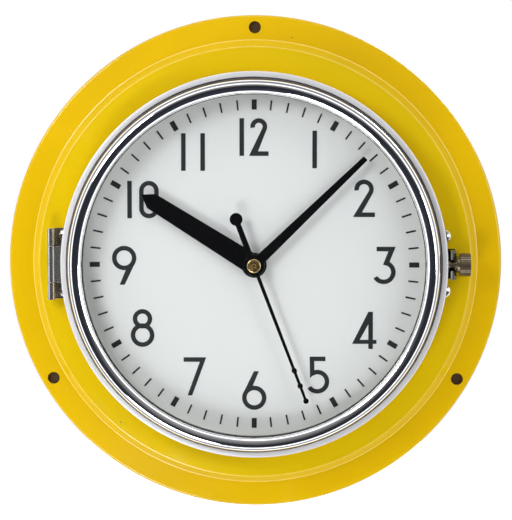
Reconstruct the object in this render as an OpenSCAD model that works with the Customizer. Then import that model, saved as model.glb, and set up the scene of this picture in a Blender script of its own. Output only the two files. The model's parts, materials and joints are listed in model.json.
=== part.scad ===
// Marine bulkhead clock with a hinged, gasketed bezel and a quartz movement.
// Millimetres. The front faces -Y and up is +Z. The origin is the centre of the three wall
// holes, on the flat back of the mounting flange.

/* [Case] */
// Outer diameter of the mounting flange
flange_d = 285; // [276:1:330]
// Thickness of the flange
flange_t = 3; // [2:0.5:5]
// Diameter of the raised ring where its sloping step starts
ring_d = 249; // [244:1:252]
// Diameter at the foot of the sloping step
step_d = 256.6; // [254:0.2:262]
// Height of the raised ring above the wall
ring_z = 8.5; // [7:0.5:11]
// Thickness of the raised ring
ring_t = 2.5; // [2:0.25:3]
// Outer diameter of the collar under the bezel
collar_d = 211; // [209:0.5:212]
// Height of the collar's sealing edge above the wall
collar_z = 20.2; // [19.5:0.1:21]
// Circle of the wall holes
bolt_circle_d = 271; // [268:0.5:280]
// Diameter of a wall hole
bolt_hole_d = 7; // [4:0.5:9]
// Height of the hinge and latch axes above the wall
axis_z = 16; // [15.5:0.1:17]

/* [Rear can] */
// Outer diameter of the can
can_d = 200; // [190:1:200]
// Depth of the can behind the wall plane
can_depth = 44; // [30:1:80]
// Wall of the can
can_wall = 1.5; // [1:0.1:2.5]
// Thickness of the rear cover
cover_t = 2; // [1.5:0.5:4]
// Distance of the cover screws inside the can's outer wall
cover_screw_inset = 7; // [6:0.5:9]

/* [Bezel] */
// Outer diameter of the bezel
bezel_d = 220.6; // [219:0.2:222]
// Outer diameter of the polished bead
bead_d = 213.2; // [210:0.2:215]
// Diameter of the bead's crest
crest_d = 204; // [202:0.5:207]
// Opening over the glass
sight_d = 195; // [190:1:196]
// Height of the bezel's flat rim above the wall
rim_z = 26; // [25:0.5:28]
// Height of the bead's crest above the wall
crest_z = 36; // [35.5:0.5:40]
// Thickness of the glass
glass_t = 3; // [2.5:0.5:3]
// Diameter of the glass
glass_d = 201.6; // [200:0.2:202]
// Thickness of the case gasket
gasket_t = 2.5; // [2:0.1:3]

/* [Dial] */
// Diameter of the dial plate
dial_d = 202.6; // [201:0.2:202.6]
// Height of the dial's face above the wall
dial_z = 18; // [17.5:0.1:18]
// Thickness of the dial plate
dial_t = 1; // [0.8:0.1:1.5]
// Thickness of the printed markings
print_t = 0.1; // [0.05:0.05:0.2]
// Mean radius of the minute track
track_r = 91.4; // [88:0.2:93]
// Length of a minute mark
mark_len = 5.8; // [4:0.2:7]
// Width of an hour mark
hour_mark_w = 2.9; // [2:0.1:4]
// Width of a minute mark
minute_mark_w = 1; // [0.6:0.1:1.4]
// Height of the numerals
numeral_h = 21.4; // [16:0.2:23]
// Width of a numeral's stroke
numeral_stroke = 2.6; // [2:0.05:3.2]
// Radius of the circle that the numerals stand on
numeral_r = 73.4; // [70:0.2:75]

/* [Hands] */
// Length of the hour hand
hour_len = 76; // [60:1:84]
// Width of the hour hand at the hub
hour_w = 12; // [8:0.5:13]
// Length of the minute hand
minute_len = 88; // [70:1:93]
// Width of the minute hand at the hub
minute_w = 6.3; // [5:0.1:8]
// Length of the second hand
second_len = 83; // [70:1:90]
// Direction of the hour hand, degrees clockwise from 12
hour_angle = 302; // [0:1:359]
// Direction of the minute hand, degrees clockwise from 12
minute_angle = 46; // [0:1:359]
// Direction of the second hand, degrees clockwise from 12
second_angle = 159; // [0:0.1:359.9]

/* [Hinge] */
// Distance of the hinge axis from the clock's axis
hinge_x = 116.7; // [116:0.1:118]
// Radius of the hinge barrel
knuckle_r = 2.3; // [2.2:0.1:2.5]
// Length of the hinge
hinge_len = 41; // [36:1:60]
// Length of the middle knuckle
hinge_mid = 20.6; // [16:0.2:24]
// Radius of the hinge pin
hinge_pin_r = 1.1; // [0.8:0.1:1.3]
// Thickness of the hinge leaves
leaf_t = 1.5; // [1.2:0.1:1.6]

/* [Latch] */
// Distance of the bolt's pivot from the clock's axis
pivot_x = 108.4; // [108:0.1:109]
// Radius of the fork's saddle about the pivot
saddle_r = 7.2; // [6.8:0.1:7.4]
// Inner face of the fork, measured from the clock's axis
fork_x = 112; // [111.6:0.1:112.4]
// Half width across the fork
fork_half = 8.2; // [7.5:0.1:9]
// Half width of the fork's slot
slot_half = 3.15; // [2.9:0.05:3.4]
// Radius of the bolt's shank
bolt_r = 2; // [1.6:0.1:2.3]
// Radius of the knurled nut
nut_r = 6.6; // [6:0.1:6.8]
// Length of the knurled part of the nut
nut_len = 6; // [4:0.5:6]

/* [Movement] */
// Width and height of the movement's case
move_w = 56; // [54:0.5:60]
// Depth of the movement's case
move_depth = 16; // [16:0.5:18]
// Wall of the movement's case
move_wall = 1.5; // [1.5:0.1:1.8]
// Distance between the centre arbor and the third and step arbors
train_a = 9; // [9:0.1:9.5]
// Distance between the centre arbor and the minute arbor
motion_a = 7.5; // [7.2:0.1:7.8]

/* [Hidden] */
$fn = 96;

slip = 0.05;            // radial running clearance of shafts and pins
side_gap = 0.3;         // gap between faces that move past each other
over = 1;               // how far a cutting solid runs past what it cuts

// Case
flange_r = flange_d / 2;
ring_under_z = ring_z - ring_t;
flange_round = 1.5;
collar_r = collar_d / 2;
dial_back_z = dial_z - dial_t;
dial_seat_r = dial_d / 2 + 0.2;
shelf_r = dial_d / 2 - 4.8;
snap_t = 1;
snap_depth = 0.9;
snap_r = dial_seat_r + snap_depth - 0.2;
snap_inner_r = dial_seat_r - 2.5;
bolt_angles = [90, 210, 330];

// Rear can
can_r = can_d / 2;
can_flange_r = collar_r;
can_flange_t = 2;
can_flange_z = ring_under_z - can_flange_t;
can_screw_inset = 2.55;
can_screw_r = collar_r - can_screw_inset;
can_screw_count = 6;
can_screw_grip = 6;
lip_w = 11;
cover_screw_count = 4;
cover_screw_r = can_r - cover_screw_inset;
screw_shank_r = 1.25;
screw_head_r = 2.3;
screw_head_h = 1.8;
cover_z = -can_depth - cover_t;

// Cable gland, low on the rear cover
gland_y = -62;
gland_r = 6;
gland_bore_r = 4;
gland_flange_r = 9;
gland_len = 10;

// Bezel
bezel_r = bezel_d / 2;
bead_r = bead_d / 2;
crest_r = crest_d / 2;
sight_r = sight_d / 2;
glass_r = glass_d / 2;
pocket_r = glass_r + 0.4;
skirt_t = 2.5;
skirt_z = axis_z + knuckle_r;
bezel_seat_z = collar_z + gasket_t;
gasket_w = 3.6;
lip_t = 0.7;
lip_drop = 2.4;
glass_front_z = crest_z - lip_drop - lip_t;
glass_back_z = glass_front_z - glass_t;
glass_gasket_t = 1;
retainer_t = 2.5;
retainer_w = 4;

// Hinge, on the left
hinge_gap = 0.3;
hinge_screw_y = 16.1;
hinge_screw_x = 109.6;
hinge_screw_r = 3.2;
leaf_in = 106.6;
leaf_drop = 0.9;
leaf_z = skirt_z - leaf_drop - leaf_t;

// Latch, on the right
clevis_r = knuckle_r - 0.1;
clevis_slot = slot_half + 0.2;
clevis_half = 7.2;
notch_z = skirt_z + 3.2;
eye_r = 2.2;
pivot_pin_r = 1.1;
bracket_x = 106.2;
bracket_half = 20;
latch_screw_x = 109;
latch_screw_y = 15.8;
latch_screw_r = 3.7;
latch_screw_h = 2;
washer_x = pivot_x + saddle_r + side_gap;
washer_t = 0.6;
washer_r = 4.4;
nose_x = washer_x + washer_t;
nose_len = 1;
nose_r = 4.7;
knurl_x = nose_x + nose_len;
knurl_count = 36;
bolt_end_x = knurl_x + nut_len - 0.4;

// Movement
pad_t = 1;
move_top = dial_back_z - pad_t;
move_bottom = move_top - move_depth;
move_half = move_w / 2;
floor_z = move_bottom + move_wall;
roof_z = move_top - move_wall;
shell_split_z = move_bottom + 6;
bush_r = 4;
bush_bore_r = 3.0;
bush_top_z = dial_z + 2.6;
nut_t = 2;
hour_z = dial_z + 3.2;
hour_t = 0.7;
minute_z = dial_z + 5.2;
minute_t = 0.6;
second_z = dial_z + 7.2;
second_t = 0.5;
boss_r = 3.9;
boss_h = 2;
hub_r = 7.2;
hour_tube_r = bush_bore_r - 0.1;
hour_bore_r = 2.1;
minute_tube_r = hour_bore_r - slip;
minute_bore_r = 1.0;
second_arbor_r = minute_bore_r - slip;
pivot_r = 0.5;
pivot_depth = 0.8;
wheel_t = 0.8;

// Tooth counts of the going train and the motion work
second_teeth = 60;
second_pinion = 8;
third_teeth = 60;
third_pinion = 8;
centre_teeth = 64;
step_teeth = 60;
step_pinion = 12;
rotor_pinion = 10;
cannon_pinion = 12;
minute_teeth = 36;
minute_pinion = 10;
hour_teeth = 40;
knob_pinion = 12;
rotor_a = 8.75;

// Module of each pair, from its arbors' distance
function pair_module(a, z1, z2) = 2 * a / (z1 + z2);
mod_second_third = pair_module(train_a, second_pinion, third_teeth);
mod_third_centre = pair_module(train_a, third_pinion, centre_teeth);
mod_step_second = pair_module(train_a, step_pinion, second_teeth);
mod_rotor_step = pair_module(rotor_a, rotor_pinion, step_teeth);
mod_cannon = pair_module(motion_a, cannon_pinion, minute_teeth);
mod_hour = pair_module(motion_a, minute_pinion, hour_teeth);

// Where the arbors stand, seen from the front
third_dir = 150;
step_dir = 40;
rotor_dir = 10;
minute_dir = 90;
function polar(r, a) = [r * cos(a), r * sin(a)];
third_at = polar(train_a, third_dir);
step_at = polar(train_a, step_dir);
rotor_at = step_at + polar(rotor_a, rotor_dir);
minute_at = polar(motion_a, minute_dir);
knob_at = polar(2 * motion_a, minute_dir);

// Heights of the wheels above the movement's floor
step_wheel_z = floor_z + 0.7;
step_pinion_z = floor_z + 1.7;
second_wheel_z = floor_z + 2.5;
second_pinion_z = floor_z + 3.5;
third_wheel_z = floor_z + 3.8;
third_pinion_z = floor_z + 5.7;
centre_wheel_z = floor_z + 6.5;
cannon_z = floor_z + 7.7;
minute_wheel_z = floor_z + 7.9;
minute_pinion_z = floor_z + 9.0;
hour_wheel_z = floor_z + 9.5;

// Battery, below the train
battery_r = 7;
battery_len = 50;
battery_y = -move_half + battery_r + 1.5;
battery_z = (move_top + move_bottom) / 2;
battery_wall_y = battery_y + battery_r + 0.5;

// The two rooms inside the movement's case
room_w = move_w - 2 * move_wall;
train_room_h = move_half - battery_wall_y - 2 * move_wall;
battery_room_h = battery_wall_y + move_half - 1;

// ---------------------------------------------------------------------------
// Helpers. Pieces are drawn lying on the wall plane with z towards the viewer,
// and front() stands them up so that the clock faces -Y.
module front() { rotate([90, 0, 0]) children(); }

module tube(r_out, r_in, h) {
    difference() {
        cylinder(r = r_out, h = h);
        translate([0, 0, -over]) cylinder(r = r_in, h = h + 2 * over);
    }
}

module around(r, angles) {
    for (a = angles) translate([r * cos(a), r * sin(a), 0]) children();
}

function even_angles(n, start = 0) = [for (i = [0 : n - 1]) start + 360 * i / n];

// A panhead screw: its head sits at z = 0 and its shank goes towards -z
module pan_screw(head_r, head_h, shank_r, len, slot_w = 0.9) {
    difference() {
        union() {
            intersection() {
                cylinder(r = head_r, h = head_h);
                translate([0, 0, head_h - 2.2 * head_r]) sphere(r = 2.2 * head_r);
            }
            translate([0, 0, -len]) cylinder(r = shank_r, h = len + head_h / 2);
        }
        translate([-head_r - over, -slot_w / 2, head_h * 0.45])
            cube([2 * (head_r + over), slot_w, head_h]);
    }
}

// A spur gear with straight-sided teeth, thinned for backlash. One tooth points along dir,
// or one gap when gap is true.
module gear(teeth, mod, t, dir = 0, gap = false) {
    pitch_r = teeth * mod / 2;
    step_a = 360 / teeth;
    tip_r = pitch_r + 0.7 * mod;
    root_r = pitch_r - 1.05 * mod;
    start = dir + (gap ? step_a / 2 : 0);
    tooth = [[-0.27, root_r], [-0.11, tip_r], [0.11, tip_r], [0.27, root_r]];
    profile = [for (i = [0 : teeth - 1], c = tooth) polar(c[1], start + (i + c[0]) * step_a)];
    linear_extrude(t) polygon(profile);
}

// ---------------------------------------------------------------------------
// Case
module front_case() {
    color([0.95, 0.80, 0.04]) front() difference() {
        rotate_extrude($fn = 180) {
            polygon([[collar_r, ring_under_z], [ring_d / 2 - 1.7, ring_under_z], [step_d / 2 - 2.2, 0],
                [flange_r, 0], [flange_r, flange_t - flange_round],
                [flange_r - flange_round, flange_t],
                [step_d / 2, flange_t], [ring_d / 2, ring_z], [collar_r, ring_z]]);
            translate([flange_r - flange_round, flange_t - flange_round]) circle(r = flange_round, $fn = 32);
        }
        around(bolt_circle_d / 2, bolt_angles)
            translate([0, 0, -over]) cylinder(d = bolt_hole_d, h = flange_t + 2 * over);
        for (s = [-1, 1]) {
            translate([latch_screw_x, s * latch_screw_y, 0])
                cylinder(r = screw_shank_r, h = ring_z + over);
            translate([-hinge_screw_x, s * hinge_screw_y, 0])
                cylinder(r = screw_shank_r, h = ring_z + over);
            translate([fork_x - side_gap, s > 0 ? slot_half - side_gap : -fork_half - side_gap, 0])
                cube([pivot_x + saddle_r - fork_x + 2 * side_gap,
                    fork_half - slot_half + 2 * side_gap, ring_z + over]);
        }
    }
}

// The turned ring that stands on the case: it seats the dial and carries the gasket
module case_collar() {
    color([0.95, 0.80, 0.04]) front() difference() {
        rotate_extrude($fn = 180) difference() {
            polygon([[shelf_r, ring_under_z], [collar_r, ring_under_z], [collar_r, collar_z],
                [dial_seat_r, collar_z], [dial_seat_r, dial_back_z], [shelf_r, dial_back_z]]);
            translate([dial_seat_r - over, dial_z]) square([over + snap_depth, snap_t + 0.1]);
        }
        around(can_screw_r, even_angles(can_screw_count, 30))
            translate([0, 0, ring_under_z - over]) cylinder(r = screw_shank_r, h = can_screw_grip + over);
    }
}

module rear_can() {
    color([0.93, 0.78, 0.05]) front() difference() {
        rotate_extrude($fn = 180) polygon([[can_r - can_wall, can_flange_z + can_flange_t],
            [can_flange_r, can_flange_z + can_flange_t], [can_flange_r, can_flange_z],
            [can_r, can_flange_z], [can_r, -can_depth],
            [can_r - lip_w, -can_depth], [can_r - lip_w, -can_depth + can_wall],
            [can_r - can_wall, -can_depth + can_wall]]);
        around(can_screw_r, even_angles(can_screw_count, 30))
            translate([0, 0, can_flange_z - over]) cylinder(r = screw_shank_r, h = can_flange_t + 2 * over);
        around(cover_screw_r, even_angles(cover_screw_count, 45))
            translate([0, 0, -can_depth - over]) cylinder(r = screw_shank_r, h = can_wall + 2 * over);
    }
}

module can_screws() {
    color("silver") front() around(can_screw_r, even_angles(can_screw_count, 30))
        translate([0, 0, can_flange_z]) rotate([180, 0, 0])
            pan_screw(screw_head_r, screw_head_h, screw_shank_r, can_screw_grip + can_flange_t - 0.5);
}

module rear_cover() {
    color([0.93, 0.78, 0.05]) front() difference() {
        translate([0, 0, cover_z]) cylinder(r = can_r, h = cover_t, $fn = 180);
        around(cover_screw_r, even_angles(cover_screw_count, 45))
            translate([0, 0, cover_z - over]) cylinder(r = screw_shank_r, h = cover_t + 2 * over);
        translate([0, gland_y, cover_z - over]) cylinder(r = gland_r, h = cover_t + 2 * over);
    }
}

module cover_screws() {
    color("silver") front() around(cover_screw_r, even_angles(cover_screw_count, 45))
        translate([0, 0, cover_z]) rotate([180, 0, 0])
            pan_screw(screw_head_r + 0.4, screw_head_h + 0.2, screw_shank_r, cover_t + can_wall + 2);
}

// Cable gland: a flanged sleeve from behind, its nut inside, and the rubber plug in its bore
module cable_gland() {
    color([0.12, 0.12, 0.12]) front() translate([0, gland_y, cover_z]) difference() {
        union() {
            translate([0, 0, -5]) cylinder(r = gland_flange_r, h = 5, $fn = 6);
            translate([0, 0, -over]) cylinder(r = gland_r, h = gland_len + over);
        }
        translate([0, 0, -6]) cylinder(r = gland_bore_r, h = gland_len + 8);
    }
}

module gland_nut() {
    color([0.12, 0.12, 0.12]) front() translate([0, gland_y, cover_z + cover_t]) difference() {
        cylinder(r = gland_flange_r, h = 4, $fn = 6);
        translate([0, 0, -over]) cylinder(r = gland_r, h = 4 + 2 * over);
    }
}

module gland_plug() {
    color([0.05, 0.05, 0.05]) front() translate([0, gland_y, cover_z - 5]) {
        translate([0, 0, -1.5]) cylinder(r = gland_bore_r + 1.2, h = 1.5);
        translate([0, 0, -over]) cylinder(r = gland_bore_r, h = 9 + over);
    }
}

module case_gasket() {
    color([0.08, 0.08, 0.08]) front()
        translate([0, 0, collar_z]) tube(collar_r - 0.2, collar_r - 0.2 - gasket_w, gasket_t);
}

// ---------------------------------------------------------------------------
// Dial
module dial_plate() {
    color([0.93, 0.95, 0.94]) front()
        translate([0, 0, dial_back_z]) tube(dial_d / 2, bush_r + 0.1, dial_t);
}

module dial_snap_ring() {
    color("silver") front() translate([0, 0, dial_z]) rotate([0, 0, -85])
        rotate_extrude(angle = 350) translate([snap_inner_r, 0]) square([snap_r - snap_inner_r, snap_t]);
}

module minute_track() {
    color([0.12, 0.13, 0.14]) front() translate([0, 0, dial_z]) for (i = [0 : 59]) {
        w = i % 5 == 0 ? hour_mark_w : minute_mark_w;
        rotate([0, 0, -6 * i]) translate([-w / 2, track_r - mark_len / 2, 0])
            cube([w, mark_len, print_t]);
    }
}

// Numerals are built of straight strokes and bows, on a cell that is numeral_h high with its
// middle at the origin.
cap = numeral_h / 2;
pen = numeral_stroke;
module ring2(at, r) {
    translate(at) difference() {
        circle(r = r);
        circle(r = r - pen);
    }
}
// The part of a ring between two directions, which are under 180 degrees apart
module bow(at, r, a0, a1) {
    mid = (a0 + a1) / 2;
    far = 3 * r;
    intersection() {
        ring2(at, r);
        translate(at) polygon([[0, 0], polar(far, a0), polar(far, mid), polar(far, a1)]);
    }
}

module digit_0() {
    w = 5.6;
    for (s = [-1, 1]) {
        bow([0, s * (cap - w)], w, s * 90 - 90, s * 90);
        bow([0, s * (cap - w)], w, s * 90, s * 90 + 90);
        translate([s * (w - pen / 2) - pen / 2, -(cap - w)]) square([pen, 2 * (cap - w)]);
    }
}
module digit_1() { translate([-pen / 2, -cap]) square([pen, 2 * cap]); }

// Its bow is w in radius; the diagonal runs from the bow to a sharp foot
module digit_2(w) {
    top = cap - w;
    foot = w + 0.8;
    inner = w - pen;
    bow([0, top], w, 90, 190);
    bow([0, top], w, -31, 91);
    polygon([polar(w, -31) + [0, top], [-foot + 5.2, -cap + pen], [foot, -cap + pen], [foot, -cap],
        [-foot, -cap], polar(inner, -25) + [0, top]]);
}
module digit_3() {
    r = 6.8;
    at = [-0.6, -cap + r];
    bow(at, r, -60, 62);
    bow(at, r, -149, -59);
    polygon([[-4.7, cap], [6.2, cap], at + polar(r, 61), at + polar(r - pen, 61),
        [-1, at[1] + r - pen + 0.1], [2, cap - pen], [-4.7, cap - pen]]);
}
module digit_4() {
    stem = 2.3;
    foot = -7.8;
    difference() {
        polygon([[stem, cap], [stem + pen, cap], [stem + pen, foot + 2.3], [7, foot + 2.3],
            [7, foot], [stem + pen, foot], [stem + pen, -cap], [stem, -cap], [stem, foot], [-7, foot]]);
        polygon([[stem, 3.5], [stem, foot + 2.3], [-2.6, foot + 2.3]]);
    }
}
module digit_5() {
    r = 6.9;
    at = [-0.5, -cap + r];
    bow(at, r, 0, 101);
    bow(at, r, -90, 1);
    bow(at, r, -145, -89);
    polygon([[-4.9, cap], [4.2, cap], [4.2, cap - pen], [-2.2, cap - pen], at + polar(r, 104),
        at + polar(r, 98), at + polar(r - pen, 98), at + polar(r - pen, 128), [-4.7, -1.8]]);
}
module digit_7() {
    polygon([[-6.5, cap + 0.3], [6.5, cap + 0.3], [-1.6, -cap - 0.4], [-4.3, -cap - 0.4],
        [2.8, cap + 0.3 - pen], [-6.5, cap + 0.3 - pen]]);
}
module digit_8() {
    ring2([0, -4], 6.8);
    ring2([0, 5.4], 5.6);
}
module digit_9() {
    at = [0, 4.3];
    ring2(at, 7);
    polygon([at + polar(7, -14), [0.2, -cap - 0.4], [-2.7, -cap - 0.4], [0.8, -2.7],
        at + polar(5.2, -32)]);
}
module digit_6() { rotate(180) digit_9(); }

// How far each numeral is set from its place on the circle, for an even look
numeral_shift = [[-2.3, 2.3], [-1, 1.4], [1.2, -0.3], [-0.5, -0.9], [0, 0], [0, 0.9],
    [2.6, -0.9], [-0.6, 0], [-1.1, -0.6], [-0.1, 0.5], [1.8, 0.8], [0, -0.5]];

module numeral(n) {
    if (n == 1) digit_1();
    if (n == 2) digit_2(5.5);
    if (n == 3) digit_3();
    if (n == 4) digit_4();
    if (n == 5) digit_5();
    if (n == 6) digit_6();
    if (n == 7) digit_7();
    if (n == 8) digit_8();
    if (n == 9) digit_9();
    if (n == 10) {
        translate([-7.6, 0]) digit_1();
        translate([3.5, 0]) digit_0();
    }
    if (n == 11) for (s = [-1, 1]) translate([5.5 * s, 0]) digit_1();
    if (n == 12) {
        translate([-7.1, 0]) digit_1();
        translate([2.6, 0]) digit_2(4.8);
    }
}

module hour_numerals() {
    color([0.10, 0.11, 0.12]) front() translate([0, 0, dial_z]) for (n = [1 : 12])
        translate(concat(polar(numeral_r, 90 - 30 * n) + numeral_shift[n - 1], 0))
            linear_extrude(print_t) numeral(n);
}

// ---------------------------------------------------------------------------
// Bezel, which opens with its glass
bead_steps = 8;
function arc_points(c, r1, r2, a0, a1, n) =
    [for (i = [0 : n]) let (a = a0 + (a1 - a0) * i / n) [c[0] + r1 * cos(a), c[1] + r2 * sin(a)]];

module bezel_ring() {
    bead_h = crest_z - rim_z;
    shoulder = 0.6;
    outer = arc_points([crest_r, rim_z], bead_r - crest_r, bead_h, 4, 90, bead_steps);
    inner = arc_points([crest_r, crest_z - lip_drop - 0.4], crest_r - sight_r, lip_drop + 0.4,
        90, 176, bead_steps);
    rim = [[bezel_r, skirt_z], [bezel_r, rim_z - shoulder], [bezel_r - shoulder, rim_z],
        [bead_r + 0.3, rim_z]];
    pocket = [[sight_r, glass_front_z], [pocket_r, glass_front_z], [pocket_r, bezel_seat_z],
        [bezel_r - skirt_t, bezel_seat_z], [bezel_r - skirt_t, skirt_z]];
    color([0.80, 0.82, 0.83]) front() difference() {
        rotate_extrude($fn = 180) polygon(concat(rim, outer, inner, pocket));
        // room for the bolt to swing forwards
        translate([pivot_x - clevis_r, -clevis_slot, skirt_z - over])
            cube([2 * clevis_half, 2 * clevis_slot, notch_z - skirt_z + over]);
    }
}

module glass_lens() {
    color([0.85, 0.93, 0.95, 0.3]) front() translate([0, 0, glass_back_z])
        cylinder(r = glass_r, h = glass_t);
}

module glass_gasket() {
    color([0.06, 0.06, 0.06]) front() translate([0, 0, glass_back_z - glass_gasket_t])
        tube(pocket_r, pocket_r - retainer_w + 0.4, glass_gasket_t);
}

module glass_retaining_ring() {
    color([0.75, 0.62, 0.32]) front() translate([0, 0, glass_back_z - glass_gasket_t - retainer_t])
        tube(pocket_r, pocket_r - retainer_w, retainer_t);
}

// ---------------------------------------------------------------------------
// Hinge
module barrel(y0, y1, bore_r) {
    translate([-hinge_x, y0, axis_z]) rotate([-90, 0, 0]) tube(knuckle_r, bore_r, y1 - y0);
}

module hinge_case_leaf() {
    mid = hinge_mid / 2 + hinge_gap;
    half = hinge_len / 2;
    relief = hinge_x - knuckle_r - side_gap;
    color([0.62, 0.62, 0.58]) front() difference() {
        union() {
            translate([-relief, -half, ring_z]) cube([relief - leaf_in, hinge_len, leaf_t]);
            for (s = [-1, 1]) {
                y0 = s > 0 ? mid : -half;
                translate([-hinge_x - knuckle_r + 0.6, y0, ring_z])
                    cube([leaf_t + 2, half - mid, axis_z - ring_z]);
                translate([-hinge_x, y0, ring_z]) cube([hinge_x - leaf_in, half - mid, leaf_t]);
                barrel(y0, y0 + half - mid, 0);
            }
        }
        translate([-hinge_x, -half - over, axis_z]) rotate([-90, 0, 0])
            cylinder(r = hinge_pin_r, h = hinge_len + 2 * over);
        for (s = [-1, 1]) translate([-hinge_screw_x, s * hinge_screw_y, ring_z - over])
            cylinder(r = screw_shank_r, h = leaf_t + 2 * over);
    }
}

module hinge_bezel_leaf() {
    half = hinge_mid / 2;
    color([0.62, 0.62, 0.58]) front() difference() {
        union() {
            barrel(-half, half, 0);
            translate([-hinge_x, -half, leaf_z])
                cube([hinge_x - bezel_r + skirt_t, hinge_mid, leaf_t]);
            translate([-bezel_r, -half, leaf_z]) cube([skirt_t, hinge_mid, skirt_z - leaf_z]);
        }
        translate([-hinge_x, -half - over, axis_z]) rotate([-90, 0, 0])
            cylinder(r = hinge_pin_r + slip, h = hinge_mid + 2 * over);
    }
}

module hinge_pin() {
    color([0.55, 0.55, 0.52]) front() translate([-hinge_x, -hinge_len / 2, axis_z]) rotate([-90, 0, 0])
        cylinder(r = hinge_pin_r, h = hinge_len);
}

module hinge_screws() {
    color([0.78, 0.77, 0.72]) front() for (s = [-1, 1])
        translate([-hinge_screw_x, s * hinge_screw_y, ring_z + leaf_t])
            pan_screw(hinge_screw_r, 1.9, screw_shank_r, leaf_t + ring_t + 1.5);
}

// ---------------------------------------------------------------------------
// Latch: the bolt is pivoted on the bezel and lies in the fork of the case's bracket
module latch_bracket() {
    base_t = 2;
    base_z = ring_under_z - base_t;
    arm_w = fork_half - slot_half;
    color([0.30, 0.30, 0.28]) front() difference() {
        union() {
            translate([bracket_x, -bracket_half, base_z])
                cube([pivot_x + saddle_r - bracket_x, 2 * bracket_half, base_t]);
            for (s = [-1, 1]) {
                y0 = s > 0 ? slot_half : -fork_half;
                translate([fork_x, y0, base_z]) cube([pivot_x + saddle_r - fork_x, arm_w, axis_z - base_z]);
                intersection() {
                    translate([pivot_x, y0, axis_z]) rotate([-90, 0, 0]) cylinder(r = saddle_r, h = arm_w);
                    translate([fork_x, y0, axis_z - over]) cube([saddle_r, arm_w, saddle_r + over]);
                }
            }
        }
        for (s = [-1, 1]) translate([latch_screw_x, s * latch_screw_y, base_z - over])
            cylinder(r = screw_shank_r, h = base_t + 2 * over);
    }
}

module latch_screws() {
    color([0.78, 0.77, 0.72]) front() for (s = [-1, 1])
        translate([latch_screw_x, s * latch_screw_y, ring_z]) rotate([0, 0, 90])
            pan_screw(latch_screw_r, latch_screw_h, screw_shank_r, ring_t + 3, 1.2);
}

module bezel_lug() {
    color([0.72, 0.74, 0.75]) front() difference() {
        for (s = [-1, 1]) {
            y0 = s > 0 ? clevis_slot : -clevis_half;
            w = clevis_half - clevis_slot;
            translate([pivot_x, y0, axis_z]) rotate([-90, 0, 0]) cylinder(r = clevis_r, h = w);
            translate([pivot_x - clevis_r, y0, axis_z]) cube([2 * clevis_r, w, skirt_z - axis_z]);
        }
        translate([pivot_x, -clevis_half - over, axis_z]) rotate([-90, 0, 0])
            cylinder(r = pivot_pin_r, h = 2 * (clevis_half + over));
    }
}

module latch_pivot_pin() {
    color([0.6, 0.6, 0.58]) front() translate([pivot_x, -clevis_half, axis_z]) rotate([-90, 0, 0])
        cylinder(r = pivot_pin_r, h = 2 * clevis_half);
}

module eye_bolt() {
    eye_half = clevis_slot - side_gap;
    color([0.48, 0.44, 0.36]) front() translate([pivot_x, 0, axis_z]) difference() {
        union() {
            translate([0, -eye_half, 0]) rotate([-90, 0, 0]) cylinder(r = eye_r, h = 2 * eye_half);
            rotate([0, 90, 0]) cylinder(r = bolt_r, h = bolt_end_x - pivot_x);
        }
        translate([0, -eye_half - over, 0]) rotate([-90, 0, 0])
            cylinder(r = pivot_pin_r + slip, h = 2 * (eye_half + over));
    }
}

module nut_washer() {
    color([0.55, 0.52, 0.45]) front() translate([washer_x, 0, axis_z]) rotate([0, 90, 0])
        tube(washer_r, bolt_r + 2 * slip, washer_t);
}

module thumb_nut() {
    groove = 0.45;
    bore_len = nose_len + nut_len + 2 * over;
    color([0.50, 0.46, 0.40]) front() translate([nose_x, 0, axis_z]) rotate([0, 90, 0]) difference() {
        union() {
            cylinder(r = nose_r, h = nose_len);
            translate([0, 0, nose_len]) linear_extrude(nut_len)
                polygon([for (i = [0 : 2 * knurl_count - 1])
                    polar(nut_r - (i % 2) * groove, 180 * i / knurl_count)]);
        }
        translate([0, 0, -over]) cylinder(r = bolt_r + slip, h = bore_len);
    }
}

// ---------------------------------------------------------------------------
// Movement: a plastic case on the dial's back, held by its threaded bush and nut
module pivot_holes(z, list) {
    for (p = list) translate([p[0], p[1], z]) cylinder(r = pivot_r + slip, h = pivot_depth + 0.1, $fn = 24);
}

module movement_front_shell() {
    color([0.10, 0.10, 0.10]) front() difference() {
        union() {
            translate([-move_half, -move_half, shell_split_z])
                cube([move_w, move_w, move_top - shell_split_z]);
            cylinder(r = bush_r, h = bush_top_z);
        }
        translate([-move_half + move_wall, battery_wall_y + move_wall, shell_split_z - over])
            cube([room_w, train_room_h, roof_z - shell_split_z + over]);
        translate([-move_half + move_wall, -move_half + 1, shell_split_z - over])
            cube([room_w, battery_room_h, battery_z + battery_r + 0.2 - shell_split_z + over]);
        translate([0, 0, -over]) cylinder(r = bush_r + 1, h = shell_split_z + over);
        translate([0, 0, -over]) cylinder(r = bush_bore_r, h = bush_top_z + 2 * over);
        pivot_holes(roof_z - 0.1, [third_at, step_at, rotor_at, minute_at, knob_at]);
    }
}

module movement_rear_shell() {
    color([0.12, 0.12, 0.12]) front() difference() {
        translate([-move_half, -move_half, move_bottom]) cube([move_w, move_w, shell_split_z - move_bottom]);
        translate([-move_half + move_wall, battery_wall_y + move_wall, floor_z])
            cube([room_w, train_room_h, move_depth]);
        translate([-move_half + move_wall, -move_half + 1, move_bottom - over])
            cube([room_w, battery_room_h, move_depth]);
        pivot_holes(floor_z - pivot_depth, [third_at, step_at, rotor_at, [0, 0]]);
        translate([knob_at[0], knob_at[1], move_bottom - over])
            cylinder(r = 1.5 + slip, h = move_wall + 2 * over);
    }
}

module dial_washer() {
    color([0.05, 0.05, 0.05]) front() translate([0, 0, move_top]) tube(12, bush_r + 0.1, pad_t);
}

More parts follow.
